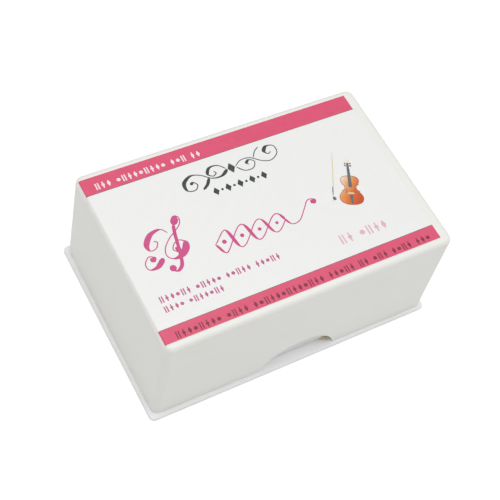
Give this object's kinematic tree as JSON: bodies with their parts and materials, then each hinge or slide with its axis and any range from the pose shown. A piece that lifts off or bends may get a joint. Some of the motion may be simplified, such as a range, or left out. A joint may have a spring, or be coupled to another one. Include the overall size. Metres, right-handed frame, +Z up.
{
  "type": "boxed rosin cake",
  "caption": "Small rectangular box with a flanged tray and a deep lift-off lid, printed label on top, holding an amber rosin cake glued to a cloth.",
  "frame": {"origin": "middle of the tray's underside", "axes": "+X along the long side, +Y away from the thumb notch, +Z up through the lid"},
  "size_m": [0.0612, 0.0406, 0.0249],
  "materials": {
    "tray_plastic": "moulded, fine satin",
    "lid_plastic": "moulded, fine satin",
    "label_paper": "coated paper, printed",
    "rosin": "cast, glassy",
    "cloth": "brushed flannelette",
    "glue": "dried, clear"
  },
  "bodies": {
    "tray": {"base_tray": "tray_plastic"},
    "lid": {"lid": "lid_plastic", "lid_label": "label_paper"},
    "cake": {"rosin_cake": "rosin", "wrap_cloth": "cloth", "glue_patch": "glue"}
  },
  "joints": [
    {"name": "lid_lift", "type": "slide", "parent": "tray", "child": "lid", "axis": [0, 0, 1], "range_m": [0, 0.06]},
    {"name": "cake_lift", "type": "slide", "parent": "tray", "child": "cake", "axis": [0, 0, 1], "range_m": [0, 0.03]}
  ],
  "couplings": [
    {"joint": "cake_lift", "follows": "lid_lift", "ratio": 0.5}
  ]
}
